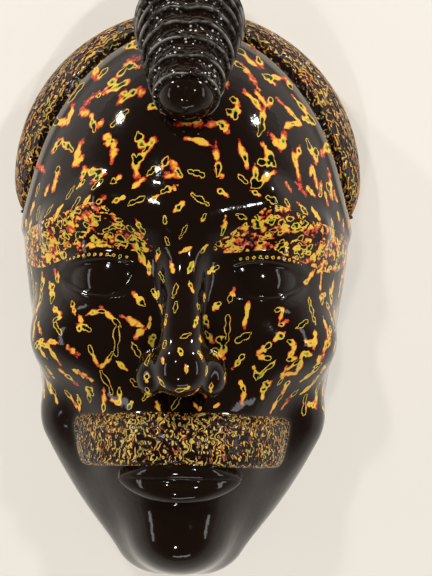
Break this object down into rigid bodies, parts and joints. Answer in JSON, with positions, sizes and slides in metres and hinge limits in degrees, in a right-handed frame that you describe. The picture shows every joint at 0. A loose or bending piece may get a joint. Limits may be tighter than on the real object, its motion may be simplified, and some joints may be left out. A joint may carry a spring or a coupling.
{
  "type": "carved face mask",
  "caption": "Hollow carved wooden face mask with a band of hair, a ringed topknot and a broad moustache, lying on its back rim",
  "frame": {"origin": "on the plane of the back rim, under the middle of the mask's length and width", "axes": "+X to the right as the face is looked at, +Y from chin to crown, +Z out through the nose; the mask lies on its rim, face up"},
  "size_m": [0.2278, 0.386, 0.1682],
  "materials": {
    "lacquered_wood": "gloss"
  },
  "bodies": {
    "root": {"carved_mask": "lacquered_wood"}
  },
  "joints": []
}
